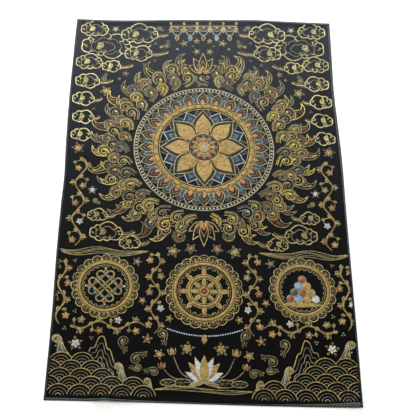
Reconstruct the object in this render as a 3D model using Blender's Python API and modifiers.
"""Unmounted woven thangka panel, lying face up: one rectangular cut of black and gold brocade,
and the four runs of overlocked edging that hold its cut edges.

Metres, +Z up, +Y towards the top edge of the picture, +X to its right. The origin is on the
resting plane, under the middle of the panel's outline.

Every place on the panel is named by its nominal coordinates (x, y) on the flat 600 x 900 mm
rectangle. surface_point turns them into the real place: pulled to the uneven outline, and
lifted by the folds.
"""

from collections import namedtuple

import bpy
import numpy as np

# ---- driving dimensions ---------------------------------------------------------------------

WIDTH = 0.600            # nominal finished width
LENGTH = 0.900           # nominal finished length
CLOTH_THICK = 0.0010     # brocade with its weft floats on the back
EDGING_WALL = 0.0005     # layer of overlock thread on each face and round the cut edge
SEAT_GAP = 0.0003        # between the thread and the cloth that it wraps
CORNER_CUT = 0.0002      # small bevel inside the edging, where the thread turns round the edge

CUT_INSET = EDGING_WALL + SEAT_GAP    # cut edge of the cloth, in from the finished outline
EDGE_LIFT = EDGING_WALL + SEAT_GAP    # the thread under the edge holds the cloth this high
LIFT_MARGIN = 0.0015     # the cloth stays level this far past the edging
LIFT_RAMP = 0.0060       # then comes down to the resting plane over this width
SLOPE_STEP = 0.0001      # step for measuring the surface's slope

# ---- the uneven outline ---------------------------------------------------------------------

# Along each edge: a place on it (nominal x or y), and how far the finished edge bows outside
# (+) or inside (-) the nominal rectangle there. The right edge is drawn in where the upper
# third was folded, and the bottom edge was cut a little askew.
EDGE_BOWS = {
    "left": [(-0.450, 0.0010), (-0.270, -0.0005), (-0.140, 0.0009), (-0.030, 0.0),
             (0.030, -0.0014), (0.100, 0.0007), (0.210, 0.0024), (0.320, 0.0018),
             (0.450, 0.0001)],
    "right": [(-0.450, 0.0021), (-0.370, 0.0024), (-0.240, 0.0017), (-0.065, 0.0003),
              (0.120, -0.0010), (0.175, -0.0033), (0.255, -0.0062), (0.345, -0.0053),
              (0.450, -0.0040)],
    "bottom": [(-0.300, -0.0044), (-0.200, -0.0030), (-0.024, 0.0004), (0.112, 0.0034),
               (0.225, 0.0052), (0.300, 0.0058)],
    "top": [(-0.300, -0.0010), (-0.216, -0.0027), (-0.066, 0.0017), (0.062, 0.0044),
            (0.124, 0.0058), (0.180, 0.0037), (0.300, -0.0002)],
}

# Along each edge: a place on it, and how far the edging reaches in from the outline. It is a
# narrow overlock that runs wide towards the bottom right corner, where the machine ended.
EDGING_REACH = {
    "left": [(-0.450, 0.0046), (0.450, 0.0046)],
    "right": [(-0.450, 0.0036), (-0.020, 0.0036), (0.120, 0.0046), (0.450, 0.0050)],
    "bottom": [(-0.300, 0.0045), (0.190, 0.0045), (0.235, 0.0062), (0.300, 0.0100)],
    "top": [(-0.300, 0.0044), (0.300, 0.0044)],
}

# ---- folds ----------------------------------------------------------------------------------

# Each fold is a soft raised patch: its top at (x, y), how far it reaches to the left, right
# and either way along y before it has died out, and its height above the resting plane.
Fold = namedtuple("Fold", "x y reach_left reach_right reach_y height")
FOLDS = {
    "arch in the bottom edge": Fold(-0.186, -0.452, 0.032, 0.030, 0.095, 0.0088),
    "tail of the arch": Fold(-0.155, -0.452, 0.032, 0.060, 0.080, 0.0032),
    "centre crease, upper third": Fold(0.001, 0.300, 0.008, 0.008, 0.230, 0.0012),
    "centre crease, lower part": Fold(0.001, -0.120, 0.008, 0.008, 0.300, 0.0007),
    "swell by the drawn-in edge": Fold(0.262, 0.255, 0.040, 0.040, 0.130, 0.0020),
    "swell at the left": Fold(-0.235, 0.095, 0.065, 0.065, 0.080, 0.0015),
    "bottom right corner": Fold(0.302, -0.455, 0.075, 0.010, 0.060, 0.0025),
}

# Grid lines of the sheet between its edges, close together where a fold crosses them.
EDGE_LINES = (CUT_INSET, 0.0065, 0.0120, 0.0180)
INNER_X = (-0.262, -0.240, -0.218, -0.210, -0.202, -0.194, -0.186, -0.178, -0.170, -0.162,
           -0.150, -0.132, -0.114, -0.095, -0.060, -0.030, -0.007, -0.003, 0.001, 0.005,
           0.009, 0.040, 0.085, 0.130, 0.175, 0.205, 0.225, 0.243, 0.260, 0.272)
INNER_Y = (-0.422, -0.410, -0.396, -0.380, -0.362, -0.335, -0.300, -0.265, -0.230, -0.195,
           -0.160, -0.125, -0.090, -0.055, -0.020, 0.015, 0.045, 0.070, 0.095, 0.120, 0.145,
           0.175, 0.200, 0.228, 0.255, 0.282, 0.310, 0.340, 0.370, 0.400, 0.420)

GREY_THREAD = (0.085, 0.088, 0.086)
BLACK_BROCADE = (0.010, 0.011, 0.013)


# ---- shape of the panel ---------------------------------------------------------------------

def smooth_through(rows, at):
    """Smooth curve through the rows' points, as cubic pieces that share their slopes."""
    place, value = np.array(rows).T
    slope = np.gradient(value, place)
    at = np.clip(at, place[0], place[-1])
    k = np.clip(np.searchsorted(place, at) - 1, 0, len(place) - 2)
    span = place[k + 1] - place[k]
    t = (at - place[k]) / span
    rise = t * t * (3 - 2 * t)
    return (value[k] * (1 - rise) + value[k + 1] * rise
            + span * t * (1 - t) * ((1 - t) * slope[k] - t * slope[k + 1]))


def soft_bump(offset, reach_before, reach_after):
    """1 at no offset, falling to 0 along a cosine at the reach on either side."""
    reach = np.where(offset < 0, reach_before, reach_after)
    t = np.clip(np.abs(offset) / reach, 0, 1)
    return 0.5 + 0.5 * np.cos(np.pi * t)


def edge_support(x, y):
    """1 where the thread under the edge carries the cloth, 0 where it lies on the ground."""
    inset = {"left": (WIDTH / 2 + x, y), "right": (WIDTH / 2 - x, y),
             "bottom": (LENGTH / 2 + y, x), "top": (LENGTH / 2 - y, x)}
    carried = np.zeros(np.shape(x + y))
    for edge, (distance, along) in inset.items():
        level = smooth_through(EDGING_REACH[edge], along) + LIFT_MARGIN
        t = np.clip((level + LIFT_RAMP - distance) / LIFT_RAMP, 0, 1)
        carried = np.maximum(carried, t * t * (3 - 2 * t))
    return carried


def surface_point(x, y):
    """Place of the cloth's underside at nominal (x, y)."""
    left = -WIDTH / 2 - smooth_through(EDGE_BOWS["left"], y)
    right = WIDTH / 2 + smooth_through(EDGE_BOWS["right"], y)
    bottom = -LENGTH / 2 - smooth_through(EDGE_BOWS["bottom"], x)
    top = LENGTH / 2 + smooth_through(EDGE_BOWS["top"], x)
    across = x / WIDTH + 0.5
    up = y / LENGTH + 0.5
    height = EDGE_LIFT * edge_support(x, y)
    for fold in FOLDS.values():
        height = height + (fold.height
                           * soft_bump(x - fold.x, fold.reach_left, fold.reach_right)
                           * soft_bump(y - fold.y, fold.reach_y, fold.reach_y))
    return np.stack([left + (right - left) * across, bottom + (top - bottom) * up, height], -1)


def surface_normal(x, y):
    """Unit normal of the underside's surface there, pointing up."""
    along_x = surface_point(x + SLOPE_STEP, y) - surface_point(x - SLOPE_STEP, y)
    along_y = surface_point(x, y + SLOPE_STEP) - surface_point(x, y - SLOPE_STEP)
    normal = np.cross(along_x, along_y)
    return normal / np.linalg.norm(normal, axis=-1, keepdims=True)


# ---- building -------------------------------------------------------------------------------

def thread_material(name, colour, roughness):
    """Matt textile: a Principled surface of one colour."""
    material = bpy.data.materials.new(name)
    material.use_nodes = True
    shader = material.node_tree.nodes["Principled BSDF"]
    shader.inputs["Base Color"].default_value = (*colour, 1)
    shader.inputs["Roughness"].default_value = roughness
    shader.inputs["Metallic"].default_value = 0
    return material


def shell(name, firsts, seconds, place, thickness, material, collection):
    """Grid primitive whose lines are moved to the given values of two parameters and laid out
    in space by place(first, second), then thickened towards its faces' front."""
    steps = len(firsts) - 1, len(seconds) - 1
    bpy.ops.mesh.primitive_grid_add(x_subdivisions=steps[0], y_subdivisions=steps[1], size=2)
    piece = bpy.context.object
    piece.name = piece.data.name = name
    flat = np.empty(3 * len(piece.data.vertices))
    piece.data.vertices.foreach_get("co", flat)
    grid = flat.reshape(-1, 3)
    column = np.rint((grid[:, 0] + 1) / 2 * steps[0]).astype(int)
    row = np.rint((grid[:, 1] + 1) / 2 * steps[1]).astype(int)
    points = place(np.array(firsts)[column], np.array(seconds)[row])
    piece.data.vertices.foreach_set("co", points.ravel())
    piece.data.update()
    piece.data.shade_smooth()
    piece.data.materials.append(material)
    thicken = piece.modifiers.new("thickness", "SOLIDIFY")
    thicken.thickness = thickness
    thicken.offset = 1
    thicken.use_even_offset = True
    thicken.use_quality_normals = True
    for holder in list(piece.users_collection):
        holder.objects.unlink(piece)
    collection.objects.link(piece)
    return piece


def grid_lines(half, inner):
    """The edge lines from both sides with the inner lines between them, in rising order."""
    low = [-half + inset for inset in EDGE_LINES]
    return low + list(inner) + [-value for value in reversed(low)]


def build_panel(material, collection):
    """The brocade: one sheet on its folds, its underside flat on the ground between them."""
    return shell("woven_panel", grid_lines(WIDTH / 2, INNER_X), grid_lines(LENGTH / 2, INNER_Y),
                 surface_point, CLOTH_THICK, material, collection)


def build_edging(edge, material, collection):
    """One overlock run: a narrow channel carried along the edge with the cloth's cut edge in
    its slot. Its inner face is laid out here, from the free end under the cloth, round the cut
    edge and on to the free end on top. The side runs pass the corners, and the other two end
    against them."""
    ahead = edge in ("bottom", "right")
    turns = edge in ("bottom", "top")
    if turns:
        stop = -LENGTH / 2 if edge == "bottom" else LENGTH / 2
        ends = (-WIDTH / 2 + smooth_through(EDGING_REACH["left"], stop) + SEAT_GAP,
                WIDTH / 2 - smooth_through(EDGING_REACH["right"], stop) - SEAT_GAP)
        lines = INNER_X
    else:
        ends = (-LENGTH / 2, LENGTH / 2)
        lines = grid_lines(LENGTH / 2, INNER_Y)
    stations = [ends[0], *[line for line in lines if ends[0] < line < ends[1]], ends[1]]
    if turns:
        stations[1:1] = [-WIDTH / 2 + inset for inset in EDGE_LINES[1:]]
        stations[-1:-1] = [WIDTH / 2 - inset for inset in reversed(EDGE_LINES[1:])]
    if not ahead:
        stations.reverse()

    under = -SEAT_GAP
    over = CLOTH_THICK + SEAT_GAP
    # Each row: share of the way from the wall to the free end, inset at the wall, and height.
    section = np.array([(1.0, 0.0, under), (0.0, EDGING_WALL + CORNER_CUT, under),
                        (0.0, EDGING_WALL, under + CORNER_CUT),
                        (0.0, EDGING_WALL, over - CORNER_CUT),
                        (0.0, EDGING_WALL + CORNER_CUT, over), (1.0, 0.0, over)])
    side = {"left": -1, "right": 1, "bottom": -1, "top": 1}[edge]

    def place(along, corner):
        share, wall_inset, height = section[corner.astype(int)].T
        inset = wall_inset + share * smooth_through(EDGING_REACH[edge], along)
        if turns:
            x, y = along, side * (LENGTH / 2 - inset)
        else:
            x, y = side * (WIDTH / 2 - inset), along
        return surface_point(x, y) + height[:, None] * surface_normal(x, y)

    return shell(f"overlock_{edge}", stations, range(len(section)), place, EDGING_WALL,
                 material, collection)


def main():
    for old in list(bpy.data.objects):
        bpy.data.objects.remove(old)
    collection = bpy.data.collections.new("woven_thangka_panel")
    bpy.context.scene.collection.children.link(collection)
    brocade = thread_material("black_brocade", BLACK_BROCADE, 0.5)
    thread = thread_material("overlock_thread", GREY_THREAD, 0.75)
    build_panel(brocade, collection)
    for edge in EDGE_BOWS:
        build_edging(edge, thread, collection)


main()
